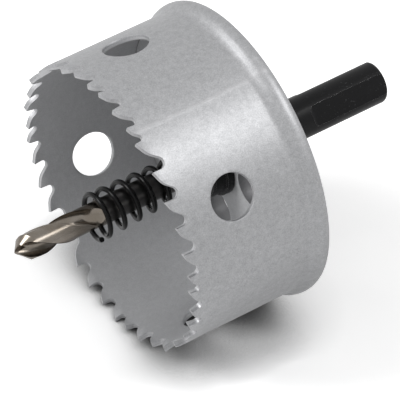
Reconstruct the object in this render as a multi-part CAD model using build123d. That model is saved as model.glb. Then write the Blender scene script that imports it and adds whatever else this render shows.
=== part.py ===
from build123d import *
from build123d.topology import SkipClean
import itertools
import math
import os

# Hole saw, 76 mm, with its own arbor, pilot drill and ejector spring.
# Millimetres. The saw axis is X, from the toothed mouth (x = 0) to the shank.
# Angles turn about +X, from +Y towards +Z. The last step lays the saw down.

# Rolled band
saw_radius = 38.0
wall = 1.4
hole_pitch = 62.1
first_hole_angle = 144.7
side_holes = 4
hole_radius = 5.87
hole_inset = 16.35
flare_gap = 1.45
flare_run = 3.1
flare_rise = 1.4
bulge_run = 1.3
bulge_rise = 1.6
back_run = 1.8
back_rise = 0.95
back_round = 0.5

# Teeth, cut along the strip from the seam in a repeating group of pitches
tooth_pitches = [8.2, 7.75, 6.8, 7.2, 6.2, 5.1, 6.2, 6.35, 6.4]
least_pitch = 4.0
first_tip_angle = 112.1
tooth_set = 0.35
set_depth = 1.8
tip_land = 0.2
gullet_depth_ratio = 0.48
gullet_radius_ratio = 0.2
relief_length_ratio = 0.42
relief_angle = 20.0

# End plate and its weld
plate_x = 31.75
plate_thickness = 4.3
plate_hole_radius = 5.1
plate_hole_circle = 15.7
plate_hole_angle = 81.7
plate_holes = 4
edge_break = 0.4
weld_depth = 1.65
weld_leg = 1.2

# Arbor and its nut
hub_radius = 8.5
hub_length = 3.5
hub_chamfer = 0.5
flange_rim = 0.85
flange_thickness = 1.95
shank_radius = 5.55
shank_length = 42.0
shank_round = 1.3
round_length = 19.2
flat_depth = 0.74
flat_corner = 1.5
flat_angle = 145.0
flats = 3
neck_shoulder = 0.45
neck_reach = 0.15
nut_wall = 3.0
nut_height = 3.1
nut_chamfer = 0.7

# Pilot drill
drill_radius = 3.37
drill_reach = 52.7
bore_depth = 19.7
bore_gap = 0.5
point_angle = 118.0
drill_web = 1.4
flute_length = 24.9
flute_lead = 39.0
flute_radius = 2.05
flute_angle = 9.0
flutes = 2

# Grub screw that holds the drill
screw_radius = 2.0
screw_inset = 2.7
screw_angle = -35.0
screw_sunk = 0.4
screw_socket = 2.0
screw_socket_depth = 1.8

# Ejector spring, a tapered coil that leans a little on its seat
wire_radius = 0.675
spring_length = 30.25
coil_gap = 0.352
spring_taper_ratio = 0.0445
spring_lead = 4.53
closed_lead = 1.5
closed_turns = 0.5
opening_lead = 2.6
opening_turns = 0.5
seat_turns = 1.0
spring_angle = 38.7
coil_lean = 0.5
spring_sag = 0.5
points_per_turn = 12

# Fits
slip = 0.05
cut = 2.0

# Places that follow from the sizes
inner_radius = saw_radius - wall
flare_radius = saw_radius + flare_rise
bulge_radius = saw_radius + bulge_rise
back_radius = saw_radius + back_rise
flare_start = plate_x + flare_gap
flare_x = flare_start + flare_run
bulge_x = flare_x + bulge_run
back_x = bulge_x + back_run
plate_rim = inner_radius - slip
plate_back = plate_x + plate_thickness
weld_root = plate_back - weld_depth
flange_radius = hub_radius + flange_rim
flange_x = plate_x - flange_thickness
hub_x = flange_x - hub_length
neck_radius = shank_radius + neck_shoulder
neck_end = plate_back + nut_height + neck_reach
flat_start = neck_end + round_length
shank_end = neck_end + shank_length
bore_end = hub_x + bore_depth
drill_tip_x = hub_x - drill_reach
flute_offset = flute_radius + drill_web / 2


def turned(points, arc=360.0):
    return revolve(make_face(Polyline(*points, close=True)), Axis.X, arc)


def axial_rod(radius, start, end):
    return Pos((start + end) / 2, 0, 0) * Rot(Y=90) * Cylinder(radius, end - start)


def radial_rod(radius, x, angle, low, high):
    bar = Pos(x, 0, (low + high) / 2) * Cylinder(radius, high - low)
    return Rot(X=angle - 90) * bar


def strip_angle(length):
    return math.degrees(length / saw_radius)


# Pitches along the strip, from the odd one that closes it at the seam
def tooth_steps():
    left = 2 * math.pi * saw_radius
    steps = []
    for pitch in itertools.cycle(tooth_pitches):
        if left < pitch + least_pitch:
            return [left] + steps
        steps.append(pitch)
        left -= pitch


def tooth_tips(steps):
    tips = [first_tip_angle]
    for step in steps[1:]:
        tips.append(tips[-1] + strip_angle(step))
    return tips


# The gullet in front of a tooth, cut square through the band at its tip
def gullet(tip, pitch):
    radius = gullet_radius_ratio * pitch
    low = gullet_depth_ratio * pitch - radius
    relief = relief_length_ratio * pitch
    drop = (relief - tip_land) * math.tan(math.radians(relief_angle))
    far = tip_land - pitch
    slope = radius * math.sqrt(0.5)
    bend = math.radians(67.5)
    middle = (radius * (math.cos(bend) - 1), low + radius * math.sin(bend))
    entry = (-radius - slope, low + slope)
    heel = Polyline((0, low), (0, -cut), (far, -cut), (far, 0), (relief - pitch, drop), entry)
    root = ThreePointArc(entry, middle, (0, low))
    outline = make_face([heel, root])
    base = Plane(origin=(0, 0, inner_radius - cut), x_dir=(0, -1, 0), z_dir=(0, 0, 1))
    block = extrude(base * outline, wall + 2 * cut, dir=(0, 0, 1))
    return Rot(X=tip - 90) * block


# One tooth's piece of the rim, bent outwards or inwards
def set_rim(start, end, offset):
    low = inner_radius + offset
    high = saw_radius + offset
    points = [(0, low), (0, high), (set_depth, saw_radius), (set_depth, inner_radius)]
    return Rot(X=start) * turned(points, end - start)


def band_body():
    outer = [
        (set_depth, saw_radius),
        (flare_start, saw_radius),
        (flare_x, flare_radius),
        (bulge_x, bulge_radius),
        (back_x, back_radius),
    ]
    inner = [(x, r - wall) for x, r in reversed(outer)]
    face = make_face(Polyline(*outer, *inner, close=True))
    corners = face.vertices().filter_by(lambda v: v.X > back_x - 0.01)
    face = fillet(corners, back_round)
    return revolve(face, Axis.X)


def make_saw_cup():
    steps = tooth_steps()
    tips = tooth_tips(steps)
    roots = []
    for tip, step in zip(tips, steps):
        roots.append(tip - strip_angle(gullet_radius_ratio * step))
    roots.append(roots[0] + 360)
    rims = []
    for i in range(len(steps)):
        offset = tooth_set if i % 2 else -tooth_set
        rims.append(set_rim(roots[i], roots[i + 1], offset))
    cup = band_body() + rims
    cutters = [gullet(tip, step) for tip, step in zip(tips, steps)]
    for i in range(side_holes):
        angle = first_hole_angle + i * strip_angle(hole_pitch)
        cutters.append(radial_rod(hole_radius, hole_inset, angle, inner_radius - cut, saw_radius + cut))
    return cup - cutters


def make_end_plate():
    face_radius = plate_rim - edge_break
    points = [
        (plate_x, 0),
        (plate_x, face_radius),
        (plate_x + edge_break, plate_rim),
        (plate_back, plate_rim),
        (plate_back, 0),
    ]
    plate = turned(points) - axial_rod(neck_radius + slip, plate_x - cut, plate_back + cut)
    for i in range(plate_holes):
        hole = axial_rod(plate_hole_radius, plate_x - cut, plate_back + cut)
        plate -= Rot(X=plate_hole_angle + i * 360 / plate_holes) * Pos(0, plate_hole_circle, 0) * hole
    return plate


# The weld lies between the plate's rim and the flare of the band
def make_weld_bead():
    rise = flare_rise / flare_run
    root_radius = inner_radius + (weld_root - flare_start) * rise
    points = [
        (plate_back, plate_rim - weld_leg),
        (plate_back, plate_rim),
        (weld_root, plate_rim),
        (weld_root, root_radius),
        (flare_x, flare_radius - wall),
    ]
    return turned(points)


def shank_flat(angle):
    level = shank_radius - flat_depth
    run = math.sqrt(flat_corner**2 - (flat_corner - flat_depth) ** 2)
    start = flat_start + run
    end = shank_end + cut
    block = Pos((start + end) / 2, 0, level + flat_corner) * Box(end - start, 4 * shank_radius, 2 * flat_corner)
    corner = Pos(start, 0, level + flat_corner) * Rot(X=90) * Cylinder(flat_corner, 4 * shank_radius)
    return Rot(X=angle - 90) * (block + corner)


def chuck_end():
    points = [(flat_start, 0), (flat_start, shank_radius), (shank_end, shank_radius), (shank_end, 0)]
    face = make_face(Polyline(*points, close=True))
    tip = face.vertices().filter_by(lambda v: v.X > shank_end - 0.01 and v.Y > shank_radius / 2)
    end = revolve(fillet(tip, shank_round), Axis.X)
    for i in range(flats):
        end -= shank_flat(flat_angle + i * 360 / flats)
    return end


def make_arbor():
    points = [
        (hub_x, 0),
        (hub_x, hub_radius - hub_chamfer),
        (hub_x + hub_chamfer, hub_radius),
        (flange_x, hub_radius),
        (flange_x, flange_radius),
        (plate_x, flange_radius),
        (plate_x, neck_radius),
        (neck_end, neck_radius),
        (neck_end, shank_radius),
        (flat_start, shank_radius),
        (flat_start, 0),
    ]
    bar = turned(points) - axial_rod(drill_radius + slip, hub_x - cut, bore_end)
    bar -= radial_rod(screw_radius + slip, hub_x + screw_inset, screw_angle, 0, flange_radius + cut)
    # The round part keeps its own wall, apart from the flatted end
    with SkipClean():
        return bar + chuck_end()


def make_lock_nut():
    back = plate_back + nut_height
    half_width = neck_radius + nut_wall
    corner = half_width / math.cos(math.radians(30))
    hexagon = RegularPolygon(half_width, 6, major_radius=False)
    blank = extrude(Plane.YZ.offset(plate_back) * hexagon, nut_height)
    points = [
        (plate_back, 0),
        (plate_back, corner),
        (back - nut_chamfer, corner),
        (back, corner - 2 * nut_chamfer),
        (back, 0),
    ]
    nut = blank & turned(points)
    return nut - axial_rod(neck_radius + slip, plate_back - cut, back + cut)


def make_pilot_drill():
    cone = drill_radius / math.tan(math.radians(point_angle / 2))
    drill_end = bore_end - bore_gap
    points = [
        (drill_tip_x, 0),
        (drill_tip_x + cone, drill_radius),
        (drill_end - edge_break, drill_radius),
        (drill_end, drill_radius - edge_break),
        (drill_end, 0),
    ]
    start = drill_tip_x - cut
    path = Helix(flute_lead, flute_length + cut, flute_offset)
    section = Plane(origin=path @ 0, z_dir=path % 0) * Circle(flute_radius)
    flute = sweep(section, path=path, is_frenet=True) + Pos(path @ 1) * Sphere(flute_radius)
    drill = turned(points)
    for i in range(flutes):
        turn = Rot(X=flute_angle + i * 360 / flutes)
        drill -= turn * Pos(start, 0, 0) * Rot(Y=90) * flute
    return drill


def make_drill_grub_screw():
    x = hub_x + screw_inset
    outside = hub_radius - screw_sunk
    screw = radial_rod(screw_radius, x, screw_angle, drill_radius, outside)
    key = RegularPolygon(screw_socket / 2, 6, major_radius=False)
    socket = Pos(x, 0, outside - screw_socket_depth) * extrude(key, screw_socket_depth + cut)
    return screw - Rot(X=screw_angle - 90) * socket


def spring_point(turn, x, seat):
    angle = math.radians(spring_angle + 360 * turn)
    free = (seat - x) / (spring_length - wire_radius)
    radius = drill_radius + wire_radius + coil_gap + spring_taper_ratio * (seat - x)
    lean = coil_lean * min(1, 4 * free) * math.cos(2 * math.pi * turn)
    down = math.radians(spring_angle + 180)
    y = radius * math.cos(angle) + spring_sag * free * math.cos(down)
    z = radius * math.sin(angle) + spring_sag * free * math.sin(down)
    return (x + lean, y, z)


def make_ejector_spring():
    seat = hub_x - wire_radius
    x = hub_x - spring_length
    opened = x + closed_turns * closed_lead + opening_turns * opening_lead
    active_turns = (seat - seat_turns * closed_lead - opened) / spring_lead
    zones = [
        (closed_turns, closed_lead),
        (opening_turns, opening_lead),
        (active_turns, spring_lead),
        (seat_turns, closed_lead),
    ]
    turn = -closed_turns
    points = [spring_point(turn, x, seat)]
    for turns, lead in zones:
        steps = round(turns * points_per_turn)
        for _ in range(steps):
            turn += turns / steps
            x += lead * turns / steps
            points.append(spring_point(turn, x, seat))
    line = Spline(*points)
    count = round(turn + closed_turns)
    path = Wire([line.trim(i / count, (i + 1) / count) for i in range(count)])
    section = Plane(origin=path @ 0, z_dir=path % 0) * Circle(wire_radius)
    return sweep(section, path=path)


def main():
    os.makedirs("parts", exist_ok=True)
    solids = {
        "saw_cup": make_saw_cup(),
        "end_plate": make_end_plate(),
        "weld_bead": make_weld_bead(),
        "arbor": make_arbor(),
        "lock_nut": make_lock_nut(),
        "pilot_drill": make_pilot_drill(),
        "drill_grub_screw": make_drill_grub_screw(),
        "ejector_spring": make_ejector_spring(),
    }
    # At rest the saw lies on two tooth tips and on its flared back
    tilt = math.degrees(math.atan((bulge_rise - tooth_set) / bulge_x))
    tilted = {name: Rot(Y=-tilt) * solid for name, solid in solids.items()}
    boxes = [solid.bounding_box() for solid in tilted.values()]
    floor = min(box.min.Z for box in boxes)
    middle = (min(box.min.X for box in boxes) + max(box.max.X for box in boxes)) / 2
    for name, solid in tilted.items():
        export_step(Pos(-middle, 0, -floor) * solid, f"parts/{name}.step")
    print("tilt", round(tilt, 4), "middle", round(middle, 4), "floor", round(floor, 4))


main()
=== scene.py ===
import math

import bmesh
import bpy
import numpy as np
from mathutils import Matrix, Vector
from mathutils.geometry import delaunay_2d_cdt


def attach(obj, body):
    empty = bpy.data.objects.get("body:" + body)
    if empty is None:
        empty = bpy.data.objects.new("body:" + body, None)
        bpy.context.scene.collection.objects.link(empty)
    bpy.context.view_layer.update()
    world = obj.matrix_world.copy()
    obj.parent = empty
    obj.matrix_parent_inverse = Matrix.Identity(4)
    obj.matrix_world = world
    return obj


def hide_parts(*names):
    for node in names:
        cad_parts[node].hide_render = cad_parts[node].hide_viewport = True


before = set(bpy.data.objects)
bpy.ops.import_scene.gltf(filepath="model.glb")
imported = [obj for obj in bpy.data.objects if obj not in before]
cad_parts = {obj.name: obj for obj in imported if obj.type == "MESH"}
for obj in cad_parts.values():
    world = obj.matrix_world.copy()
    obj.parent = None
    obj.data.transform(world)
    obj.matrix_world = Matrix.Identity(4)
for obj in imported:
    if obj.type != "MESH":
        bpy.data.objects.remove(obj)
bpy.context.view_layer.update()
print("frame loaded, nodes:", sorted(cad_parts))

# Every piece is drawn in millimetres on the saw's own axis: x runs from the
# tooth tips (0) to the shank, angles turn from +Y towards +Z. This matrix then
# lays the saw down on two tooth tips and its flared back, in metres.
perMetre = 1000
rest = {"tilt": math.radians(1.9041), "middle": 27.5058, "floor": 38.3288}
layDown = (
    Matrix.Scale(1 / perMetre, 4)
    @ Matrix.Translation((-rest["middle"], 0, rest["floor"]))
    @ Matrix.Rotation(-rest["tilt"], 4, "Y")
)
fullTurn = 2 * math.pi
roundMiddle = 0.3  # how far in the middle of a quarter round is, as a share of its radius


# Small mesh tools
def linkNew(name, data):
    made = bpy.data.objects.new(name, data)
    bpy.context.scene.collection.objects.link(made)
    return made


def newPiece(name, mesh, materials):
    mesh.materials.clear()
    for material in materials:
        mesh.materials.append(material)
    return linkNew(name, mesh)


def meshFrom(name, points, faces, slots=None, mergeDistance=0.0005):
    mesh = bpy.data.meshes.new(name)
    mesh.from_pydata([tuple(p) for p in points], [], [tuple(int(i) for i in f) for f in faces])
    if slots is not None:
        mesh.polygons.foreach_set("material_index", np.asarray(slots, np.int32))
    shape = bmesh.new()
    shape.from_mesh(mesh)
    bmesh.ops.remove_doubles(shape, verts=shape.verts, dist=mergeDistance)
    bmesh.ops.dissolve_degenerate(shape, edges=shape.edges, dist=mergeDistance)
    bmesh.ops.recalc_face_normals(shape, faces=shape.faces)
    shape.to_mesh(mesh)
    shape.free()
    return mesh


def finishPiece(piece, body, node, sharpAngle):
    mesh = piece.data
    mesh.transform(layDown)
    mesh.shade_smooth()
    mesh.set_sharp_from_angle(angle=math.radians(sharpAngle))
    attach(piece, body)
    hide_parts(node)
    print(piece.name, "made,", len(mesh.polygons), "faces")
    return piece


def bakeModifiers(piece):
    bpy.context.view_layer.update()
    graph = bpy.context.evaluated_depsgraph_get()
    done = bpy.data.meshes.new_from_object(piece.evaluated_get(graph))
    piece.modifiers.clear()
    old = piece.data
    piece.data = done
    bpy.data.meshes.remove(old)
    return piece


def polar(radius, angle, u=0.0, v=0.0):
    return u + radius * np.cos(angle), v + radius * np.sin(angle)


def circlePoints(radius, count, centre=(0.0, 0.0)):
    return list(zip(*polar(radius, np.arange(count) * fullTurn / count, *centre)))


def bridge(first, second, closed=True):
    # four-sided faces between two rows of point numbers
    count = len(first)
    runs = range(count if closed else count - 1)
    return [(first[i], first[(i + 1) % count], second[(i + 1) % count], second[i]) for i in runs]


def shellFaces(rows, count):
    loops = [range(k * count, (k + 1) * count) for k in range(rows)]
    return [face for a, b in zip(loops, loops[1:]) for face in bridge(a, b)]


def turnedMesh(name, profile, count):
    # a closed profile of (x, radius) turned about the saw's axis
    points = [(x, y, z) for x, r in profile for y, z in circlePoints(r, count)]
    return meshFrom(name, points, shellFaces(len(profile), count))


def prismMesh(name, near, far):
    count = len(near)
    ends = [tuple(range(count)), tuple(range(2 * count - 1, count - 1, -1))]
    return meshFrom(name, near + far, ends + bridge(range(count), range(count, 2 * count)))


def hexagonMesh(name, acrossFlats, low, high):
    corners = circlePoints(acrossFlats / math.sqrt(3), 6)
    return prismMesh(name, *([(x, y, z) for y, z in corners] for x in (low, high)))


def fillPlan(points, borders, closest=1e-4):
    # flat triangles between closed borders, and the old numbers of each new point
    edges = [(b[i], b[(i + 1) % len(b)]) for b in borders for i in range(len(b))]
    made = delaunay_2d_cdt([Vector(p) for p in points], edges, [], 0, closest, True)
    return np.array([(v.x, v.y) for v in made[0]]), made[2], made[3]


def cutWith(piece, cutterMeshes, operation="DIFFERENCE", solver="EXACT"):
    cutters = [linkNew("cutter", mesh) for mesh in cutterMeshes]
    for cutter in cutters:
        step = piece.modifiers.new("cut", "BOOLEAN")
        step.operation = operation
        step.solver = solver
        step.object = cutter
    bakeModifiers(piece)
    for cutter, mesh in zip(cutters, cutterMeshes):
        bpy.data.objects.remove(cutter)
        bpy.data.meshes.remove(mesh)
    return piece


def bevelEdges(piece, width, angle, segments=2, slot=1):
    # the bevels take the piece's second material
    step = piece.modifiers.new("edges", "BEVEL")
    step.width = width
    step.segments = segments
    step.limit_method = "ANGLE"
    step.angle_limit = math.radians(angle)
    step.material = slot
    step.use_clamp_overlap = True
    return bakeModifiers(piece)


def standAcross(mesh, x, angle):
    # turns what was made along x to stand out from the axis, at x and at this angle
    turn = Matrix.Rotation(math.radians(angle - 90), 4, "X") @ Matrix.Rotation(-math.pi / 2, 4, "Y")
    mesh.transform(Matrix.Translation((x, 0, 0)) @ turn)
    return mesh


# Node tools
def plug(tree, socket, value):
    if isinstance(value, bpy.types.NodeSocket):
        tree.links.new(value, socket)
    else:
        socket.default_value = value


def plugAll(tree, node, values):
    for key, value in values.items():
        plug(tree, node.inputs[key], value)


def addNode(tree, kind, values=None, **settings):
    node = tree.nodes.new(kind)
    for key, value in settings.items():
        setattr(node, key, value)
    plugAll(tree, node, values or {})
    return node


def mathNode(tree, operation, *values, clamp=False):
    node = addNode(tree, "ShaderNodeMath", dict(enumerate(values)), operation=operation, use_clamp=clamp)
    return node.outputs[0]


def plus(tree, a, b):
    return mathNode(tree, "ADD", a, b)


def minus(tree, a, b):
    return mathNode(tree, "SUBTRACT", a, b)


def times(tree, a, b):
    return mathNode(tree, "MULTIPLY", a, b)


def noiseNode(tree, place, scale, detail, roughness=0.5):
    values = {"Vector": place, "Scale": scale, "Detail": detail, "Roughness": roughness}
    return addNode(tree, "ShaderNodeTexNoise", values).outputs[0]


def mapped(tree, place, rotation=(0, 0, 0), scale=(1, 1, 1), location=(0, 0, 0)):
    values = {"Vector": place, "Rotation": rotation, "Scale": scale, "Location": location}
    return addNode(tree, "ShaderNodeMapping", values).outputs[0]


def splitUp(tree, place):
    return addNode(tree, "ShaderNodeSeparateXYZ", {"Vector": place}).outputs


def rangeNode(tree, value, low, high):
    return addNode(tree, "ShaderNodeMapRange", {"Value": value, "From Min": low, "From Max": high}).outputs[0]


def newGroup(name, inputs, outputs, kind="ShaderNodeTree"):
    tree = bpy.data.node_groups.new(name, kind)
    for label, socketType, value in inputs:
        socket = tree.interface.new_socket(name=label, in_out="INPUT", socket_type=socketType)
        if value is not None:
            socket.default_value = value
    for label, socketType in outputs:
        tree.interface.new_socket(name=label, in_out="OUTPUT", socket_type=socketType)
    return tree, tree.nodes.new("NodeGroupInput").outputs, tree.nodes.new("NodeGroupOutput")


def floatInputs(values):
    return [(label, "NodeSocketFloat", value) for label, value in values.items()]


# Place on the saw in millimetres, and how far that is along the axis and from it
def makeSawPlaceGroup():
    tree, source, result = newGroup(
        "sawPlace",
        [("Object", "NodeSocketVector", None)],
        [("Place", "NodeSocketVector"), ("Along", "NodeSocketFloat"), ("Radius", "NodeSocketFloat")],
    )
    c, s = math.cos(rest["tilt"]), math.sin(rest["tilt"])
    shift = (rest["middle"] * c - rest["floor"] * s, 0, -rest["middle"] * s - rest["floor"] * c)
    place = mapped(tree, source["Object"], (0, rest["tilt"], 0), (perMetre,) * 3, shift)
    x, y, z = splitUp(tree, place)
    radius = mathNode(tree, "SQRT", plus(tree, times(tree, y, y), times(tree, z, z)))
    plugAll(tree, result, {"Place": place, "Along": x, "Radius": radius})
    return tree


# Fine flake or cast grain, with its colour mask and height
def makeGrainGroup():
    look = {"fineShare": 0.7, "wideShare": 0.3, "wideRate": 0.22, "roughness": 0.6, "middle": 0.5}
    tree, source, result = newGroup(
        "fineGrain",
        [("Place", "NodeSocketVector", None), *floatInputs({"Size": 0.5, "Contrast": 1.0})],
        [("Mask", "NodeSocketFloat"), ("Height", "NodeSocketFloat")],
    )
    rate = mathNode(tree, "DIVIDE", 1.0, source["Size"])
    fine = noiseNode(tree, source["Place"], rate, detail=3.0, roughness=look["roughness"])
    wide = noiseNode(tree, source["Place"], times(tree, rate, look["wideRate"]), detail=2.0)
    mixed = plus(tree, times(tree, fine, look["fineShare"]), times(tree, wide, look["wideShare"]))
    spread = times(tree, minus(tree, mixed, look["middle"]), source["Contrast"])
    mask = mathNode(tree, "ADD", spread, look["middle"], clamp=True)
    plugAll(tree, result, {"Mask": mask, "Height": fine})
    return tree


# Soft smudges and a few thin scratches from handling
def makeHandlingGroup():
    look = {
        "smudgeRoughness": 0.55, "scratchRate": 1.4, "scratchFrom": 0.68, "scratchTo": 0.76,
        # two runs of scratches, each turned and then drawn out
        "runs": [((0.2, 0.5, 0.9), (0.05, 1.6, 1.6)), ((1.1, -0.4, 2.2), (1.3, 0.045, 1.4))],
    }
    tree, source, result = newGroup(
        "handlingMarks",
        [("Place", "NodeSocketVector", None), *floatInputs({"Smudge Size": 9.0, "Scratches": 0.5})],
        [("Smudge", "NodeSocketFloat"), ("Scratch", "NodeSocketFloat")],
    )
    rate = mathNode(tree, "DIVIDE", 1.0, source["Smudge Size"])
    smudge = noiseNode(tree, source["Place"], rate, detail=4.0, roughness=look["smudgeRoughness"])
    thin = []
    for turn, stretch in look["runs"]:
        drawn = mapped(tree, mapped(tree, source["Place"], turn), scale=stretch)
        lines = noiseNode(tree, drawn, look["scratchRate"], detail=2.0)
        thin.append(rangeNode(tree, lines, look["scratchFrom"], look["scratchTo"]))
    scratch = times(tree, mathNode(tree, "MAXIMUM", *thin), source["Scratches"])
    plugAll(tree, result, {"Smudge": smudge, "Scratch": scratch})
    return tree


sawPlaceGroup = makeSawPlaceGroup()
grainGroup = makeGrainGroup()
handlingGroup = makeHandlingGroup()


def placeGroup(tree, group, values):
    return addNode(tree, "ShaderNodeGroup", values, node_tree=group).outputs


def startMaterial(name, look):
    material = bpy.data.materials.new(name)
    material.use_nodes = True
    tree = material.node_tree
    tree.nodes.clear()
    shader = addNode(tree, "ShaderNodeBsdfPrincipled", {
        "Metallic": look["metallic"],
        "Specular IOR Level": look["specular"],
    })
    addNode(tree, "ShaderNodeOutputMaterial", {"Surface": shader.outputs[0]})
    coordinates = addNode(tree, "ShaderNodeTexCoord")
    place = placeGroup(tree, sawPlaceGroup, {"Object": coordinates.outputs["Object"]})
    values = {"Place": place["Place"], "Size": look["grain"], "Contrast": look["contrast"]}
    grain = placeGroup(tree, grainGroup, values)
    return material, tree, shader, place, grain


def handlingMarks(tree, place, look):
    return placeGroup(tree, handlingGroup, {
        "Place": place["Place"], "Smudge Size": look["smudgeSize"], "Scratches": look["scratches"],
    })


def toolLines(tree, place, look):
    drawn = mapped(tree, place["Place"], scale=look["stretch"])
    return noiseNode(tree, drawn, look["lineRate"], detail=4.0, roughness=look["lineRoughness"])


def unevenRoughness(tree, look, source):
    spread = look["roughSpread"]
    return plus(tree, times(tree, source, spread), look["roughness"] - spread / 2)


def finishMaterial(tree, shader, look, colour, rough, height):
    values = {"Height": height, "Strength": look["bump"], "Distance": look["bumpDepth"]}
    bump = addNode(tree, "ShaderNodeBump", values)
    plugAll(tree, shader, {"Base Color": colour, "Roughness": rough, "Normal": bump.outputs[0]})


def mixColour(tree, factor, first, second):
    node = addNode(tree, "ShaderNodeMix", {0: factor}, data_type="RGBA")
    for index, value in ((6, first), (7, second)):
        plug(tree, node.inputs[index], (*value, 1.0) if isinstance(value, tuple) else value)
    return node.outputs[2]


def silverPaintMaterial(name, look):
    material, tree, shader, place, grain = startMaterial(name, look)
    marks = handlingMarks(tree, place, look)
    colour = mixColour(tree, grain["Mask"], look["dark"], look["light"])
    colour = mixColour(tree, times(tree, marks["Scratch"], look["scratchShare"]), colour, look["scratch"])
    # The ground weld seam of the band, a strip along the axis
    turned = splitUp(tree, mapped(tree, place["Place"], (-math.radians(look["seamAngle"]), 0, 0)))
    waver = times(tree, minus(tree, marks["Smudge"], 0.5), look["seamWaver"])
    near = rangeNode(tree, mathNode(tree, "ABSOLUTE", plus(tree, turned["Z"], waver)), *look["seamFade"])
    seam = times(tree, near, mathNode(tree, "GREATER_THAN", turned["Y"], look["seamSide"]))
    colour = mixColour(tree, times(tree, seam, look["seam"]), colour, look["seamColour"])
    # Inside the cup the coat is flatter and its colour is lightened as painted light, and behind the plate
    # the colour is darkened as painted shade
    inside = mathNode(tree, "LESS_THAN", place["Radius"], look["insideRadius"])
    behind = times(tree, inside, mathNode(tree, "GREATER_THAN", place["Along"], look["plateBack"]))
    colour = mixColour(tree, times(tree, inside, look["insideLightShare"]), colour, look["insideLitColour"])
    colour = mixColour(tree, times(tree, behind, look["behindShadeShare"]), colour, look["behindShadeColour"])
    flatter = times(tree, inside, look["metallic"] - look["insideMetallic"])
    plug(tree, shader.inputs["Metallic"], minus(tree, look["metallic"], flatter))
    rough = minus(tree, unevenRoughness(tree, look, marks["Smudge"]), times(tree, seam, look["seamPolish"]))
    height = minus(tree, grain["Height"], times(tree, marks["Scratch"], look["scratchDepth"]))
    height = plus(tree, height, times(tree, seam, look["seam"] * look["seamRise"]))
    finishMaterial(tree, shader, look, colour, rough, height)
    return material


def brushedSteelMaterial(name, look):
    material, tree, shader, place, grain = startMaterial(name, look)
    lines = toolLines(tree, place, look)
    colour = mixColour(tree, grain["Mask"], look["dark"], look["light"])
    finishMaterial(tree, shader, look, colour, unevenRoughness(tree, look, lines), lines)
    return material


def blackOxideMaterial(name, look):
    material, tree, shader, place, grain = startMaterial(name, look)
    marks = handlingMarks(tree, place, look)
    colour = mixColour(tree, grain["Mask"], look["dark"], look["light"])
    colour = mixColour(tree, marks["Scratch"], colour, look["bare"])
    # worn bare patches, which on the bevelled edges are also a painted highlight
    if look["wearAndGlint"]:
        wornGlint = rangeNode(tree, marks["Smudge"], *look["wearFade"])
        colour = mixColour(tree, times(tree, wornGlint, look["wearAndGlint"]), colour, look["bare"])
    turned = mathNode(tree, "SINE", times(tree, place["Along"], fullTurn / look["turningPitch"]))
    grained = times(tree, grain["Height"], look["grainDepth"])
    height = plus(tree, grained, times(tree, turned, look["turning"]))
    finishMaterial(tree, shader, look, colour, unevenRoughness(tree, look, marks["Smudge"]), height)
    return material


def drillSteelMaterial(name, look):
    material, tree, shader, place, grain = startMaterial(name, look)
    marks = handlingMarks(tree, place, look)
    lines = toolLines(tree, place, look)
    colour = mixColour(tree, marks["Smudge"], look["bronze"], look["grey"])
    colour = mixColour(tree, times(tree, lines, look["deepShare"]), colour, look["deep"])
    # The flutes are bright, and the plain shank behind them is dark
    shank = rangeNode(tree, place["Along"], look["shankStart"], look["shankStart"] + look["shankBlend"])
    colour = mixColour(tree, shank, colour, look["shank"])
    rough = plus(tree, unevenRoughness(tree, look, lines), times(tree, shank, look["shankRoughness"]))
    height = plus(tree, lines, times(tree, grain["Height"], look["grainDepth"]))
    finishMaterial(tree, shader, look, colour, rough, height)
    return material


# Lengths are in millimetres, but a bump's depth is in metres
paintLook = {
    "dark": (0.29, 0.293, 0.302), "light": (0.55, 0.553, 0.565), "scratch": (0.62, 0.62, 0.62),
    "metallic": 0.8, "specular": 0.5, "roughness": 0.46, "roughSpread": 0.12,
    "grain": 0.3, "contrast": 1.9, "bump": 0.7, "bumpDepth": 0.00004,
    "smudgeSize": 11.0, "scratches": 0.25, "scratchShare": 0.5, "scratchDepth": 0.5,
    "seamAngle": 108.7, "seam": 0.35, "seamColour": (0.52, 0.52, 0.53), "seamFade": (0.9, 0.25),
    "seamWaver": 1.2, "seamSide": 20.0, "seamPolish": 0.05, "seamRise": 2.0,
    # the lighter inside colour is painted light, the dark colour behind the plate painted shade
    "insideRadius": 37.3, "insideLightShare": 0.3, "insideLitColour": (0.64, 0.645, 0.655), "insideMetallic": 0.25,
    "plateBack": 31.9, "behindShadeShare": 0.8, "behindShadeColour": (0.10, 0.10, 0.105),
}
# cut faces: bare steel, lightened further as a painted highlight
bareCutGlintLook = {
    "dark": (0.60, 0.60, 0.60), "light": (0.92, 0.92, 0.91), "metallic": 0.45, "specular": 0.5,
    "roughness": 0.45, "roughSpread": 0.16, "grain": 0.35, "contrast": 2.0, "stretch": (0.6, 0.6, 0.6),
    "lineRate": 2.0, "lineRoughness": 0.65, "bump": 1.0, "bumpDepth": 0.00003,
}
weldLook = {
    **bareCutGlintLook, "dark": (0.22, 0.22, 0.225), "light": (0.38, 0.38, 0.385), "metallic": 0.9,
    "roughness": 0.5, "grain": 0.6, "stretch": (1.0, 1.0, 1.0), "bump": 0.5,
}
oxideLook = {
    "dark": (0.004, 0.004, 0.0045), "light": (0.010, 0.010, 0.011), "bare": (0.16, 0.16, 0.17),
    "metallic": 0.0, "specular": 0.16, "roughness": 0.34, "roughSpread": 0.14, "grain": 0.35, "contrast": 1.5,
    "smudgeSize": 5.0, "scratches": 0.25, "wearAndGlint": 0.0, "wearFade": (0.38, 0.58), "turning": 0.15,
    "turningPitch": 0.22, "grainDepth": 0.8, "bump": 0.35, "bumpDepth": 0.00003,
}
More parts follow.
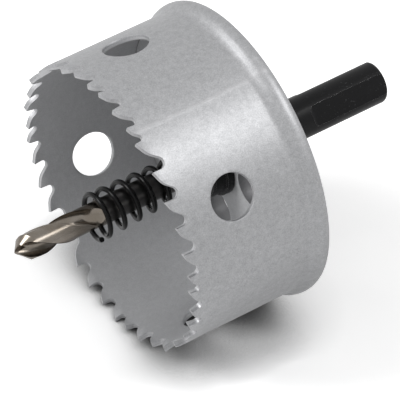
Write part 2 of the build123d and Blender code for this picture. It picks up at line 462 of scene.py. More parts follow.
# bevelled edges: bare steel wear, made bright as a painted highlight
wornGlintEdgeLook = {
    **oxideLook, "dark": (0.03, 0.03, 0.032), "light": (0.06, 0.06, 0.064), "bare": (0.7, 0.7, 0.7),
    "metallic": 0.5, "wearAndGlint": 0.9, "roughness": 0.36,
}
springLook = {
    **oxideLook, "dark": (0.002, 0.002, 0.002), "light": (0.004, 0.004, 0.0045),
    "specular": 0.17, "roughness": 0.17, "turning": 0.0, "scratches": 0.1,
}
drillLook = {
    "bronze": (0.19, 0.155, 0.115), "grey": (0.33, 0.305, 0.28), "deep": (0.06, 0.052, 0.042),
    "deepShare": 0.35, "shank": (0.085, 0.082, 0.08),
    "shankStart": -2.2, "shankBlend": 1.5, "shankRoughness": 0.08,
    "metallic": 1.0, "specular": 0.5, "roughness": 0.22, "roughSpread": 0.12, "grain": 0.4, "contrast": 1.6,
    "smudgeSize": 3.5, "scratches": 0.3, "stretch": (3.0, 0.5, 0.5), "lineRate": 2.2, "lineRoughness": 0.7,
    "grainDepth": 0.4, "bump": 0.2, "bumpDepth": 0.00003,
}

silverPaint = silverPaintMaterial("silverPaint", paintLook)
platePaint = silverPaintMaterial("platePaint", {**paintLook, "seam": 0.0, "scratches": 0.4})
bareCutGlint = brushedSteelMaterial("bareCutGlint", bareCutGlintLook)
weldSteel = brushedSteelMaterial("weldSteel", weldLook)
blackOxide = blackOxideMaterial("blackOxide", oxideLook)
wornGlintOxide = blackOxideMaterial("wornGlintOxide", wornGlintEdgeLook)
springBlack = blackOxideMaterial("springBlack", springLook)
drillSteel = drillSteelMaterial("drillSteel", drillLook)
print("materials made")


# Saw cup, a strip drawn flat as (distance round, x) and then rolled up
cupSizes = {
    "radius": 38.0, "wall": 1.4, "length": 39.4,
    # tooth pitches, repeated along the strip from the seam on
    "pitches": [8.2, 7.75, 6.8, 7.2, 6.2, 5.1, 6.2, 6.35, 6.4], "leastPitch": 4.0, "firstTip": 112.1,
    # depth, root radius and relief of a gap are shares of its pitch
    "depth": 0.48, "root": 0.2, "relief": 0.42, "land": 0.2, "reliefAngle": 20.0, "kneeReach": 0.45,
    "rootTurn": 135.0, "kneeSteps": 7, "rootSteps": 12,
    "set": 0.35, "setDepth": 1.8, "setCurve": 1.15,
    "holes": 4, "holeRadius": 5.87, "holeX": 16.35, "firstHole": 144.7, "holePitch": 62.1,
    "holeRound": 0.2, "holeSides": 72,
    # outer radius along the flared back
    "flare": [
        (32.6, 38.0), (33.6, 38.06), (34.6, 38.42), (35.5, 38.93), (36.3, 39.35), (37.0, 39.55),
        (37.6, 39.6), (38.3, 39.53), (38.9, 39.3),
    ],
    "backRound": 0.5, "backTaper": 0.1,
    # where points stand across the strip, and how far they keep from its edges
    "step": 1.5, "toothRows": [1.4, 2.6, 3.8], "bandRows": (5.2, 32.0),
    "flareRows": [
        32.6, 33.1, 33.6, 34.1, 34.6, 35.05, 35.5, 35.9, 36.3, 36.65, 37.0, 37.3, 37.6, 37.95, 38.3,
        38.6, 38.9, 39.1, 39.25, 39.35,
    ],
    "toothZone": 6.5, "gapsEnd": 4.2, "edgeGap": 0.6, "holeGap": 0.8, "holeRing": 0.95, "holeMargin": 0.02,
}


def toothSteps():
    left = fullTurn * cupSizes["radius"]
    steps = []
    while True:
        pitch = cupSizes["pitches"][len(steps) % len(cupSizes["pitches"])]
        if left < pitch + cupSizes["leastPitch"]:
            return [left] + steps
        steps.append(pitch)
        left -= pitch


# One tooth gap along the strip: (distance from the tip behind it, x)
def gapOutline(pitch):
    size = cupSizes
    radius = size["root"] * pitch
    low = size["depth"] * pitch - radius
    relief = size["relief"] * pitch
    drop = (relief - size["land"]) * math.tan(math.radians(size["reliefAngle"]))
    heel = np.array([size["land"] - pitch, 0.0])
    knee = np.array([relief - pitch, drop])
    entry = np.array(polar(radius, math.radians(size["rootTurn"]), -radius, low))
    before = knee + (heel - knee) * size["kneeReach"]
    after = knee + (entry - knee) * size["kneeReach"]
    line = [tuple(heel)]
    for t in np.linspace(0, 1, size["kneeSteps"]):
        line.append(tuple(before * (1 - t) ** 2 + 2 * knee * t * (1 - t) + after * t**2))
    for t in np.linspace(size["rootTurn"], 0, size["rootSteps"]):
        line.append(polar(radius, math.radians(t), -radius, low))
    return line + [(0.0, low / 2), (0.0, 0.0)]


def toothedEdge():
    # the front edge, the place of each gap and the side to which each tooth is set
    size = cupSizes
    tip = math.radians(size["firstTip"]) * size["radius"]
    line, gaps, sides = [], [], []
    for i, step in enumerate(toothSteps()):
        tip += step if i else 0
        line += [(tip + u, x) for u, x in gapOutline(step)]
        gaps.append(tip - size["root"] * step)
        sides.append(1 if i % 2 else -1)
    line.append((line[0][0] + fullTurn * size["radius"], 0.0))
    return line, np.array(gaps), np.array(sides)


def outerRadius(x):
    xs, radii = zip(*cupSizes["flare"])
    back = np.clip((x - xs[-1]) / cupSizes["backRound"], 0, 1)
    rounded = cupSizes["backRound"] * (1 - np.sqrt(1 - back**2))
    return np.interp(x, xs, radii) - rounded - cupSizes["backTaper"] * back


def rolledUp(plan, inner, gaps, sides, sink=0.0):
    size = cupSizes
    u, x = plan[:, 0], plan[:, 1]
    side = sides[(np.searchsorted(gaps, u, side="right") - 1) % len(sides)]
    bend = np.clip(1 - x / size["setDepth"], 0, 1) ** size["setCurve"]
    radius = outerRadius(x) + side * size["set"] * bend - sink - (size["wall"] - 2 * sink) * inner
    return np.column_stack([x, *polar(radius, u / size["radius"])])


def nearHole(u, x, holes, gap):
    reach = cupSizes["holeRadius"] + gap
    return any(math.hypot(u - centre, x - cupSizes["holeX"]) < reach for centre, ring in holes)


def insideBand(u, x, edge, holes):
    size = cupSizes
    if nearHole(u, x, holes, size["holeRound"] - size["holeMargin"]):
        return False
    if x > size["gapsEnd"]:
        return True
    # an odd number of crossings of the toothed edge lies in front of steel
    crossed = (edge[:-1, 0] <= u) != (edge[1:, 0] <= u)
    a, b = edge[:-1][crossed], edge[1:][crossed]
    heights = a[:, 1] + (u - a[:, 0]) / (b[:, 0] - a[:, 0]) * (b[:, 1] - a[:, 1])
    return int((heights < x).sum()) % 2 == 1


def makeSawCup():
    size = cupSizes
    around = fullTurn * size["radius"]
    radius, small = size["holeRadius"], size["holeRound"]
    line, gaps, sides = toothedEdge()
    edge = np.array(line)
    seamStart, seamEnd = line[0][0], line[-1][0]
    rows = size["toothRows"] + list(np.arange(*size["bandRows"], size["step"])) + size["flareRows"]
    columns = np.linspace(seamStart, seamEnd, int(around / size["step"]) + 1)
    # the toothed edge, then up the seam, along the back and down the seam again
    points = line + [(seamEnd, x) for x in rows]
    backStart = len(points)
    points += [(u, size["length"]) for u in columns[::-1]]
    backEnd = len(points)
    points += [(seamStart, x) for x in rows[::-1]]
    borders = [list(range(len(points)))]
    holes = []
    for i in range(size["holes"]):
        centre = math.radians(size["firstHole"]) * size["radius"] + i * size["holePitch"]
        centre = (centre - seamStart) % around + seamStart
        ring = list(range(len(points), len(points) + size["holeSides"]))
        points += circlePoints(radius + small, size["holeSides"], (centre, size["holeX"]))
        borders.append(ring[::-1])
        holes.append((centre, ring))
    # inner points, kept clear of every edge
    for x in rows:
        for u in columns[1:-1]:
            nearTooth = x < size["toothZone"] and np.min(np.hypot(*(edge - (u, x)).T)) < size["edgeGap"]
            if not nearTooth and not nearHole(u, x, holes, size["holeGap"]):
                points.append((u, x))
    for centre, ring in holes:
        points += circlePoints(radius + size["holeRing"], size["holeSides"] // 2, (centre, size["holeX"]))
    flat, triangles, origins = fillPlan(points, borders)
    newIndex = {old: i for i, group in enumerate(origins) for old in group}
    triangles = [t for t in triangles if insideBand(*flat[list(t)].mean(axis=0), edge, holes)]
    count = len(flat)
    vertices = [rolledUp(flat, side, gaps, sides) for side in (0, 1)]
    painted = [tuple(reversed(t)) for t in triangles] + [tuple(i + count for i in t) for t in triangles]
    mouth = [newIndex[i] for i in range(len(line))]
    back = [newIndex[i] for i in range(backStart, backEnd)]
    painted += bridge(back, [i + count for i in back], closed=False)
    cut = bridge(mouth, [i + count for i in mouth], closed=False)
    # rounded walls of the side holes
    total = 2 * count
    corner = small * roundMiddle
    rounds = [(corner, corner, 0), (0.0, small, 0), (0.0, small, 1), (corner, corner, 1)]
    for centre, ring in holes:
        first = [newIndex[i] for i in ring]
        turn = np.arctan2(flat[first][:, 1] - size["holeX"], flat[first][:, 0] - centre)
        loops = [first]
        for grow, sink, inner in rounds:
            plan = np.column_stack(polar(radius + grow, turn, centre, size["holeX"]))
            vertices.append(rolledUp(plan, inner, gaps, sides, sink))
            loops.append(range(total, total + len(first)))
            total += len(first)
        loops.append([i + count for i in first])
        for a, b in zip(loops, loops[1:]):
            cut += bridge(a, b)
    mesh = meshFrom("sawCup", np.vstack(vertices), painted + cut, [0] * len(painted) + [1] * len(cut))
    return newPiece("sawCup", mesh, [silverPaint, bareCutGlint])


sawCup = finishPiece(makeSawCup(), "root", "saw_cup", sharpAngle=32)


# End plate
plateSizes = {
    "front": 31.75, "back": 36.05, "rim": 36.55, "edge": 0.4, "bore": 6.05, "round": 0.15,
    "holes": 4, "holeRadius": 5.1, "holeCircle": 15.7, "holeAngle": 81.7,
    "rimSides": 192, "holeSides": 96, "margin": 0.01,
}


def makeEndPlate():
    size = plateSizes
    cuts = [((0.0, 0.0), size["bore"])]
    for i in range(size["holes"]):
        turn = math.radians(size["holeAngle"] + 360 / size["holes"] * i)
        cuts.append((polar(size["holeCircle"], turn), size["holeRadius"]))
    rims = [((0.0, 0.0), size["rim"], -1, size["rimSides"], size["edge"])]
    rims += [(centre, radius, 1, size["holeSides"], size["round"]) for centre, radius in cuts]
    points, faces, fronts, backs = [], [], [], []
    front, back, small = size["front"], size["back"], size["round"]
    for centre, radius, side, count, edge in rims:
        outline = [(edge, front), (edge * roundMiddle, front + edge * roundMiddle), (0, front + edge)]
        outline += [(0, back - small), (small * roundMiddle, back - small * roundMiddle), (small, back)]
        loops = []
        for grow, x in outline:
            loops.append(range(len(points), len(points) + count))
            points += [(x, y, z) for y, z in circlePoints(radius + side * grow, count, centre)]
        for a, b in zip(loops, loops[1:]):
            faces += bridge(a, b)
        fronts.append(loops[0])
        backs.append(loops[-1])
    for loops in (fronts, backs):
        numbers, borders = [], []
        for loop in loops:
            borders.append(range(len(numbers), len(numbers) + len(loop)))
            numbers += loop
        flat, triangles, origins = fillPlan([points[i][1:] for i in numbers], borders)
        for face in triangles:
            middle = flat[list(face)].mean(axis=0)
            if all(math.dist(middle, centre) >= radius + small + size["margin"] for centre, radius in cuts):
                faces.append(tuple(numbers[origins[i][0]] for i in face))
    return newPiece("endPlate", meshFrom("endPlate", points, faces), [platePaint])


endPlate = finishPiece(makeEndPlate(), "root", "end_plate", sharpAngle=30)


# Weld bead, a row of ripples that follows the plate's rim
weldSizes = {
    "Ring Radius": 36.6, "Ring Place": 35.55, "Bead Radius": 1.0, "Ripple Depth": 0.11, "Ripples": 190,
    "Waver": 0.12, "Waver Rate": 0.35, "Sides": 14, "Steps": 1140,
}


def geometryTree(name, sizes):
    inputs = [
        (label, "NodeSocketInt" if isinstance(value, int) else "NodeSocketFloat", value)
        for label, value in sizes.items()
    ]
    inputs.append(("Finish", "NodeSocketMaterial", None))
    return newGroup(name, inputs, [("Geometry", "NodeSocketGeometry")], "GeometryNodeTree")


def grownPiece(name, tree, sizes, material):
    piece = newPiece(name, bpy.data.meshes.new(name), [])
    step = piece.modifiers.new(name, "NODES")
    step.node_group = tree
    for item in tree.interface.items_tree:
        if item.item_type == "SOCKET" and item.in_out == "INPUT":
            step[item.identifier] = material if item.name == "Finish" else sizes[item.name]
    return bakeModifiers(piece)


def vectorNode(tree, x, y, z):
    return addNode(tree, "ShaderNodeCombineXYZ", {"X": x, "Y": y, "Z": z}).outputs[0]


def closeTree(tree, source, result, geometry):
    real = addNode(tree, "GeometryNodeRealizeInstances", {"Geometry": geometry})
    values = {"Geometry": real.outputs[0], "Material": source["Finish"]}
    plugAll(tree, result, {0: addNode(tree, "GeometryNodeSetMaterial", values).outputs[0]})
    return tree


def weldTree():
    tree, size, result = geometryTree("weldAlongRim", weldSizes)
    values = {"Resolution": size["Steps"], "Radius": size["Ring Radius"]}
    circle = addNode(tree, "GeometryNodeCurvePrimitiveCircle", values)
    turned = addNode(tree, "GeometryNodeTransform", {
        "Geometry": circle.outputs[0],
        "Rotation": (0, math.pi / 2, 0),
        "Translation": vectorNode(tree, size["Ring Place"], 0.0, 0.0),
    })
    index = addNode(tree, "GeometryNodeInputIndex").outputs[0]
    phase = mathNode(tree, "DIVIDE", times(tree, index, size["Ripples"]), size["Steps"])
    wave = mathNode(tree, "ABSOLUTE", mathNode(tree, "SINE", times(tree, phase, math.pi)))
    noise = addNode(tree, "ShaderNodeTexNoise", {"Scale": size["Waver Rate"], "Detail": 1.0}).outputs[0]
    swell = plus(tree, times(tree, wave, size["Ripple Depth"]), times(tree, noise, size["Waver"]))
    bead = plus(tree, size["Bead Radius"], minus(tree, swell, size["Waver"]))
    sized = addNode(tree, "GeometryNodeSetCurveRadius", {"Curve": turned.outputs[0], "Radius": bead})
    profile = addNode(tree, "GeometryNodeCurvePrimitiveCircle", {"Resolution": size["Sides"], "Radius": 1.0})
    values = {"Curve": sized.outputs[0], "Profile Curve": profile.outputs[0]}
    swept = addNode(tree, "GeometryNodeCurveToMesh", values)
    if "Scale" in swept.inputs:
        plug(tree, swept.inputs["Scale"], bead)
    return closeTree(tree, size, result, swept.outputs[0])


weldBead = grownPiece("weldBead", weldTree(), weldSizes, weldSteel)
weldBead = finishPiece(weldBead, "root", "weld_bead", sharpAngle=60)


# Arbor
arborSizes = {
    "hubX": 26.3, "hubRadius": 8.5, "hubChamfer": 0.5, "hubRoot": 0.15, "flangeX": 29.8, "flangeRadius": 9.35,
    "plateX": 31.75, "neckRadius": 6.0, "neckEnd": 39.3, "shankRadius": 5.55, "shankMiddle": 60.0,
    "shankEnd": 81.3, "shankRound": 1.3, "boreRadius": 3.42, "boreEnd": 46.0, "edge": 0.12, "sides": 144,
    "flats": 3, "flatDepth": 0.74, "flatStart": 58.5, "flatCorner": 1.5, "flatAngle": 145.0,
    "screwX": 29.0, "screwAngle": -35.0, "screwRadius": 2.05, "screwSides": 48,
    "cutterHeight": 12.0, "cutterWidth": 18.0, "cutterPast": 2.0, "roundSteps": 9, "cornerSteps": 12,
    "wornGlintWidth": 0.11, "wornGlintAngle": 24,
}


def roundedEnd(x, r, radius, steps):
    # quarter round from the side of a bar on to its end face
    line = []
    for t in np.linspace(0, math.pi / 2, steps):
        line.append((x - radius * (1 - math.sin(t)), r - radius * (1 - math.cos(t))))
    return line


def flatCutter(angle):
    # a milled flat that rises to the shank's surface in a rounded corner
    size = arborSizes
    level, corner = size["shankRadius"] - size["flatDepth"], size["flatCorner"]
    start = size["flatStart"] + math.sqrt(corner**2 - (corner - size["flatDepth"]) ** 2)
    arc = np.linspace(math.pi, 1.5 * math.pi, size["cornerSteps"])
    end, top = size["shankEnd"] + size["cutterPast"], size["cutterHeight"]
    side = [polar(corner, t, start, level + corner) for t in arc]
    side += [(end, level), (end, top), (start - corner, top)]
    half = size["cutterWidth"] / 2
    mesh = prismMesh("flatCutter", *([(x, y, z) for x, z in side] for y in (-half, half)))
    mesh.transform(Matrix.Rotation(math.radians(angle - 90), 4, "X"))
    return mesh


def makeArbor():
    size = arborSizes
    edge, root, chamfer = size["edge"], size["hubRoot"], size["hubChamfer"]
    bore, hub, flange = size["boreRadius"], size["hubRadius"], size["flangeRadius"]
    neck, shank = size["neckRadius"], size["shankRadius"]
    profile = [
        (size["boreEnd"], 0.0), (size["boreEnd"], bore),
        (size["hubX"] + edge, bore), (size["hubX"], bore + edge),
        (size["hubX"], hub - chamfer), (size["hubX"] + chamfer, hub),
        (size["flangeX"] - root, hub), (size["flangeX"], hub + root),
        (size["flangeX"], flange - edge), (size["flangeX"] + edge, flange),
        (size["plateX"] - edge, flange), (size["plateX"], flange - edge),
        (size["plateX"], neck), (size["neckEnd"] - edge, neck), (size["neckEnd"], neck - edge),
        (size["neckEnd"], shank), (size["shankMiddle"], shank),
        *roundedEnd(size["shankEnd"], shank, size["shankRound"], size["roundSteps"]),
        (size["shankEnd"], 0.0),
    ]
    piece = newPiece("arborBar", turnedMesh("arborBar", profile, size["sides"]), [blackOxide, wornGlintOxide])
    cutters = [flatCutter(size["flatAngle"] + 360 / size["flats"] * i) for i in range(size["flats"])]
    hole, top = size["screwRadius"], size["cutterHeight"]
    drill = turnedMesh("screwCutter", [(0.0, 0.0), (0.0, hole), (top, hole), (top, 0.0)], size["screwSides"])
    cutters.append(standAcross(drill, size["screwX"], size["screwAngle"]))
    cutWith(piece, cutters)
    return bevelEdges(piece, size["wornGlintWidth"], size["wornGlintAngle"])


arbor = finishPiece(makeArbor(), "root", "arbor", sharpAngle=30)


# Lock nut
nutSizes = {
    "front": 36.05, "height": 3.1, "acrossFlats": 18.0, "chamfer": 0.7, "bore": 6.05, "lead": 0.35,
    "sides": 120, "cutterPast": 1.0, "wornGlintWidth": 0.12, "wornGlintAngle": 25,
}


def makeLockNut():
    size = nutSizes
    front, back, past = size["front"], size["front"] + size["height"], size["cutterPast"]
    corner = size["acrossFlats"] / math.sqrt(3)
    profile = [
        (front, size["bore"]), (front, corner),
        (back - size["chamfer"], corner), (back, corner - 2 * size["chamfer"]),
        (back, size["bore"] + size["lead"]), (back - size["lead"], size["bore"]), (front, size["bore"]),
    ]
    piece = newPiece("lockNut", turnedMesh("lockNut", profile, size["sides"]), [blackOxide, wornGlintOxide])
    cutWith(piece, [hexagonMesh("hexagon", size["acrossFlats"], front - past, back + past)], "INTERSECT")
    return bevelEdges(piece, size["wornGlintWidth"], size["wornGlintAngle"])


lockNut = finishPiece(makeLockNut(), "root", "lock_nut", sharpAngle=30)


# Pilot drill, one cross-section that turns along the flutes
drillSizes = {
    "radius": 3.37, "tip": -26.4, "end": 45.5, "web": 0.7, "lead": 39.0,
    "fluteRadius": 2.05, "fluteAngle": 117.5, "margin": 0.5, "clearance": 0.12,
    # how far behind the tip the twist stops, and the flutes widen and run out
    "twistEnd": 21.0, "twistFade": 1.5, "widenFrom": 19.5, "widenTo": 23.0,
    "wideRadius": 3.2, "wideDepth": 1.9, "runOutEarly": 0.6, "runOutEnd": 25.2, "overRun": 0.01,
    # turns in radians from the margin to the relieved land, and from the land to the next flute
    "marginStep": 0.04, "landStart": 0.1, "landEnd": 0.02, "wallSteps": 30, "landSteps": 30,
    "before": 2.0, "step": 0.3, "shankPlaces": [30, 45], "endChamfer": 0.4,
    "pointAngle": 118.0, "relief": 0.44, "lipAngle": 47.0, "flankFrom": 0.35, "flankGrow": 0.6,
    "flankLead": 0.5, "flankHeel": 2.3, "pointRadii": [0.35, 0.8, 1.4, 2.2, 3.0, 3.8, 4.6], "pointSteps": 120,
    "cutterFront": 5.0,
    # the notch beside a lip, seen along it, and where it begins and ends across the drill
    "gash": [(-0.1, -1.5), (0.62, 3.1), (3.4, -0.4), (3.4, -1.5)], "gashIn": -0.35, "gashOut": 6.0,
}


def limited(value):
    return min(max(value, 0), 1)


def smoothShare(value, start, end):
    t = limited((value - start) / (end - start))
    return t * t * (3 - 2 * t)


def fluteSection(s):
    # one flute and the land after it, at a distance s behind the tip
    size = drillSizes
    big = size["radius"]
    wide = smoothShare(s, size["widenFrom"], size["widenTo"])
    out = smoothShare(s, size["widenTo"] - size["runOutEarly"], size["runOutEnd"])
    small = size["fluteRadius"] + wide * (size["wideRadius"] - size["fluteRadius"])
    depth = size["web"] + wide * (size["wideDepth"] - size["web"])
    depth += out * (big + size["overRun"] - depth)
    centre = depth + small
    half = math.acos(min(1, (big**2 + centre**2 - small**2) / (2 * big * centre)))
    start = math.atan2(big * math.sin(half), big * math.cos(half) - centre)
    line = [polar(small, t, centre) for t in np.linspace(-start, start - fullTurn, size["wallSteps"] + 1)]
    margin = half + size["margin"] / big
    land = np.linspace(margin + size["landStart"], math.pi - half - size["landEnd"], size["landSteps"])
    line.append(polar(big, margin))
    for turn in [margin + size["marginStep"], *land]:
        line.append(polar(big - size["clearance"] * (1 - out), turn))
    return np.array(line)


def fluteTurn(s):
    size = drillSizes
    past = max(s - size["twistEnd"], 0)
    run = min(s, size["twistEnd"]) + size["twistFade"] * (1 - math.exp(-past / size["twistFade"]))
    return math.radians(size["fluteAngle"] + 360 * run / size["lead"])


def drillBody():
    size = drillSizes
    chamfer = size["endChamfer"]
    runs = list(np.arange(-size["before"], size["runOutEnd"] + size["step"], size["step"]))
    runs += size["shankPlaces"] + [size["end"] - size["tip"] - chamfer]
    rings = []
    for s in runs:
        half = fluteSection(s)
        y, z = np.vstack([half, -half]).T
        c, d = math.cos(fluteTurn(s)), math.sin(fluteTurn(s))
        rings.append(np.column_stack([np.full(len(y), size["tip"] + s), y * c - z * d, y * d + z * c]))
    last = rings[-1].copy()
    last[:, 0] += chamfer
    last[:, 1:] *= 1 - chamfer / size["radius"]
    rings.append(last)
    count, rows = len(last), len(rings)
    ends = [tuple(range(count)), tuple(range((rows - 1) * count, rows * count))]
    return meshFrom("pilotDrill", np.vstack(rings), ends + shellFaces(rows, count))


def pointCutter():
    # everything in front of the two ground flanks, which fall away behind the lips
    size = drillSizes
    steps, lead, heel = size["pointSteps"], size["flankLead"], size["flankHeel"]
    lip = fluteTurn(0) + math.radians(size["lipAngle"])
    slope = 1 / math.tan(math.radians(size["pointAngle"] / 2))
    turns = [fullTurn * i / steps for i in range(steps)]
    points = [(size["tip"], 0.0, 0.0)]
    for r in size["pointRadii"]:
        relief = size["relief"] * limited((r - size["flankFrom"]) / size["flankGrow"])
        for turn in turns:
            behind = (turn + lead) % math.pi - lead
            fall = relief * max(behind, 0)
            if behind > heel:
                fall = relief * heel * (1 - (behind - heel) / (math.pi - lead - heel))
            points.append((size["tip"] + r * (slope + fall), *polar(r, lip + turn)))
    rings = [[1 + k * steps + i for i in range(steps)] for k in range(len(size["pointRadii"]) + 1)]
    front, outside = size["tip"] - size["cutterFront"], size["pointRadii"][-1]
    points += [(front, *polar(outside, lip + turn)) for turn in turns]
    faces = [(0, *face[:2]) for face in bridge(rings[0], rings[1])]
    for inner, outer in zip(rings, rings[1:-1]):
        for a, b, c, d in bridge(inner, outer):
            faces += [(a, d, c), (a, c, b)]
    faces += bridge(rings[-2], rings[-1])
    faces.append(tuple(rings[-1]))
    return meshFrom("pointCutter", points, faces)


def gashCutter(turn):
    # the notch in front of a lip, which leaves the lip straight and the web thin
    size = drillSizes
    lip = fluteTurn(0) + math.radians(size["lipAngle"]) + turn
    c, d = math.cos(lip), math.sin(lip)
    sides = []
    for u in (size["gashIn"], size["gashOut"]):
        sides.append([(size["tip"] + s, u * c + t * d, u * d - t * c) for t, s in size["gash"]])
    return prismMesh("gashCutter", *sides)


pilotDrill = newPiece("pilotDrill", drillBody(), [drillSteel])
cutWith(pilotDrill, [pointCutter(), gashCutter(0), gashCutter(math.pi)], solver="MANIFOLD")
pilotDrill = finishPiece(pilotDrill, "root", "pilot_drill", sharpAngle=24)


# Grub screw
screwSizes = {
    "x": 29.0, "angle": -35.0, "radius": 2.0, "low": 3.37, "high": 8.1, "chamfer": 0.25,
    "socket": 2.0, "socketDepth": 1.8, "sides": 64, "cutterPast": 1.0,
}


def makeGrubScrew():
    size = screwSizes
    radius, low, high, chamfer = size["radius"], size["low"], size["high"], size["chamfer"]
    profile = [
        (low, 0.0), (low, radius - chamfer), (low + chamfer, radius),
        (high - chamfer, radius), (high, radius - chamfer), (high, 0.0),
    ]
    piece = newPiece("grubScrew", turnedMesh("grubScrew", profile, size["sides"]), [blackOxide, wornGlintOxide])
    floor, above = high - size["socketDepth"], high + size["cutterPast"]
    cutWith(piece, [hexagonMesh("socket", size["socket"], floor, above)])
    standAcross(piece.data, size["x"], size["angle"])
    return piece


grubScrew = finishPiece(makeGrubScrew(), "root", "drill_grub_screw", sharpAngle=30)


# Ejector spring, a wire that follows a tapered, slightly leaning coil
springSizes = {
    "Front": -3.95, "Seat": 25.625, "Seat Radius": 4.397, "Taper": 0.0445, "Wire Radius": 0.675,
    "Closed Lead": 1.5, "Closed Turns": 0.5, "Opening Lead": 2.6, "Opening Turns": 0.5, "Open Lead": 4.53,
    "Seat Turns": 1.0, "Start Angle": 38.7, "Lean": 0.5, "Lean Rate": 4.0, "Sag": 0.5,
    "Sides": 20, "Steps": 760,
}


def springTree():
    tree, size, result = geometryTree("coilAlongAxis", springSizes)

    def op(kind, *values):
        return mathNode(tree, kind, *values)

    def swing(radius, angle, other, otherAngle, kind):
        return plus(tree, times(tree, radius, op(kind, angle)), times(tree, other, op(kind, otherAngle)))

    # how many turns the open middle takes, between the closed ends
    opened = plus(
        tree,
        times(tree, size["Closed Turns"], size["Closed Lead"]),
        times(tree, size["Opening Turns"], size["Opening Lead"]),
    )
    allLength = minus(tree, size["Seat"], size["Front"])
    closed = times(tree, size["Seat Turns"], size["Closed Lead"])
    openTurns = op("DIVIDE", minus(tree, minus(tree, allLength, opened), closed), size["Open Lead"])
    startTurns = plus(tree, size["Closed Turns"], size["Opening Turns"])
    allTurns = plus(tree, startTurns, plus(tree, openTurns, size["Seat Turns"]))
    line = addNode(tree, "GeometryNodeMeshLine", {"Count": size["Steps"]}, mode="OFFSET")
    wire = addNode(tree, "GeometryNodeMeshToCurve", {"Mesh": line.outputs[0]})
    share = op("DIVIDE", addNode(tree, "GeometryNodeInputIndex").outputs[0], minus(tree, size["Steps"], 1.0))
    turns = times(tree, share, allTurns)
    x, begun = size["Front"], 0.0
    for length, lead in (
        (size["Closed Turns"], size["Closed Lead"]),
        (size["Opening Turns"], size["Opening Lead"]),
        (openTurns, size["Open Lead"]),
        (size["Seat Turns"], size["Closed Lead"]),
    ):
        part = op("MINIMUM", op("MAXIMUM", minus(tree, turns, begun), 0.0), length)
        x = plus(tree, x, times(tree, part, lead))
        begun = plus(tree, begun, length)
    toSeat = minus(tree, size["Seat"], x)
    free = op("DIVIDE", toSeat, allLength)
    radius = plus(tree, size["Seat Radius"], times(tree, size["Taper"], toSeat))
    turned = times(tree, minus(tree, turns, size["Closed Turns"]), fullTurn)
    startAngle = op("RADIANS", size["Start Angle"])
    angle, down = plus(tree, turned, startAngle), plus(tree, startAngle, math.pi)
    leaning = times(tree, size["Lean"], op("MINIMUM", 1.0, times(tree, free, size["Lean Rate"])))
    lean = times(tree, leaning, op("COSINE", turned))
    sag = times(tree, size["Sag"], free)
    y, z = (swing(radius, angle, sag, down, kind) for kind in ("COSINE", "SINE"))
    place = vectorNode(tree, plus(tree, x, lean), y, z)
    shaped = addNode(tree, "GeometryNodeSetPosition", {"Geometry": wire.outputs[0], "Position": place})
    values = {"Resolution": size["Sides"], "Radius": size["Wire Radius"]}
    profile = addNode(tree, "GeometryNodeCurvePrimitiveCircle", values)
    values = {"Curve": shaped.outputs[0], "Profile Curve": profile.outputs[0], "Fill Caps": True}
    swept = addNode(tree, "GeometryNodeCurveToMesh", values)
    return closeTree(tree, size, result, swept.outputs[0])


ejectorSpring = grownPiece("ejectorSpring", springTree(), springSizes, springBlack)
ejectorSpring = finishPiece(ejectorSpring, "root", "ejector_spring", sharpAngle=50)


# Floor, light and camera
floorLook = {
    "halfSize": 1.5, "grey": 0.82, "roughness": 0.4, "specular": 0.15,
    "seenWhite": 0.75, "mirroredShare": 0.3, "paintedShadowReach": 0.017, "paintedShadowPower": 1.6,
}
worldLook = {"light": 0.42, "mirrored": 0.85}
lampLooks = {
    "keyLight": {"place": (0.41, -0.39, 0.87), "watts": 2.7},
    "mouthLight": {"place": (-0.72, 0.42, 0.68), "watts": 5.6},
}
lampSize, lampTarget = 0.42, (0, 0, 0.04)
cameraLook = {
    "lens": 324.474, "sensor": 36, "nearest": 0.05, "farthest": 10,
    "place": (-0.366274, -0.518943, 0.667063), "turn": (44.7539, -1.6031, -33.6327),
}


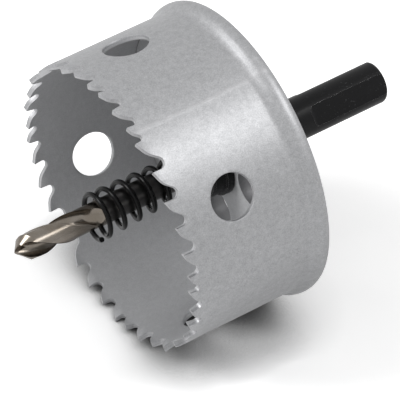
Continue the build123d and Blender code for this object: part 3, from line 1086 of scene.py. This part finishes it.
def makeFloor():
    look = floorLook
    half = look["halfSize"]
    mesh = bpy.data.meshes.new("floor")
    corners = [(-half, -half, 0), (half, -half, 0), (half, half, 0), (-half, half, 0)]
    mesh.from_pydata(corners, [], [(0, 1, 2, 3)])
    material = bpy.data.materials.new("paleFloor")
    material.use_nodes = True
    tree = material.node_tree
    tree.nodes.clear()
    path = addNode(tree, "ShaderNodeLightPath").outputs
    mirrored = mathNode(tree, "MAXIMUM", path["Is Glossy Ray"], path["Is Transmission Ray"])
    seen = mathNode(tree, "MAXIMUM", path["Is Camera Ray"], times(tree, mirrored, look["mirroredShare"]))
    # The camera and, in part, mirrors see the floor's own shading once more, so that it is white, and see a
    # painted contact shadow that darkens it close to what stands on it
    near = addNode(tree, "ShaderNodeAmbientOcclusion", {"Distance": look["paintedShadowReach"]}, samples=8)
    paintedShadow = mathNode(tree, "POWER", near.outputs["AO"], look["paintedShadowPower"])
    white = times(tree, times(tree, seen, look["seenWhite"]), paintedShadow)
    paper = addNode(tree, "ShaderNodeBsdfDiffuse", {"Color": white})
    base = minus(tree, 1.0, times(tree, seen, minus(tree, 1.0, paintedShadow)))
    surface = addNode(tree, "ShaderNodeBsdfPrincipled", {
        "Base Color": times(tree, base, look["grey"]),
        "Roughness": look["roughness"],
        "Specular IOR Level": look["specular"],
    })
    both = addNode(tree, "ShaderNodeAddShader", {0: surface.outputs[0], 1: paper.outputs[0]})
    addNode(tree, "ShaderNodeOutputMaterial", {"Surface": both.outputs[0]})
    floor = newPiece("floor", mesh, [material])


def makeWorld():
    world = bpy.data.worlds.new("studio")
    bpy.context.scene.world = world
    world.use_nodes = True
    tree = world.node_tree
    tree.nodes.clear()
    path = addNode(tree, "ShaderNodeLightPath").outputs
    seen = mathNode(tree, "MAXIMUM", path["Is Camera Ray"], path["Is Transmission Ray"])
    mirrored = times(tree, path["Is Glossy Ray"], worldLook["mirrored"])
    strength = mathNode(tree, "MAXIMUM", mathNode(tree, "MAXIMUM", seen, mirrored), worldLook["light"])
    sky = addNode(tree, "ShaderNodeBackground", {"Color": (1, 1, 1, 1), "Strength": strength})
    addNode(tree, "ShaderNodeOutputWorld", {"Surface": sky.outputs[0]})


def addSoftbox(name, look):
    lamp = bpy.data.lights.new(name, "AREA")
    lamp.shape = "RECTANGLE"
    lamp.size = lamp.size_y = lampSize
    lamp.energy = look["watts"]
    holder = linkNew(name, lamp)
    holder.location = look["place"]
    aim = Vector(lampTarget) - Vector(look["place"])
    holder.rotation_euler = aim.to_track_quat("-Z", "Y").to_euler()


def addCamera():
    data = bpy.data.cameras.new("camera")
    data.lens = cameraLook["lens"]
    data.sensor_width = cameraLook["sensor"]
    data.clip_start, data.clip_end = cameraLook["nearest"], cameraLook["farthest"]
    camera = linkNew("camera", data)
    camera.location = cameraLook["place"]
    camera.rotation_euler = [math.radians(angle) for angle in cameraLook["turn"]]
    bpy.context.scene.camera = camera


makeFloor()
makeWorld()
for name, look in lampLooks.items():
    addSoftbox(name, look)
addCamera()
bpy.context.scene.view_settings.view_transform = "Standard"
print("floor, light and camera set")

bpy.context.view_layer.update()
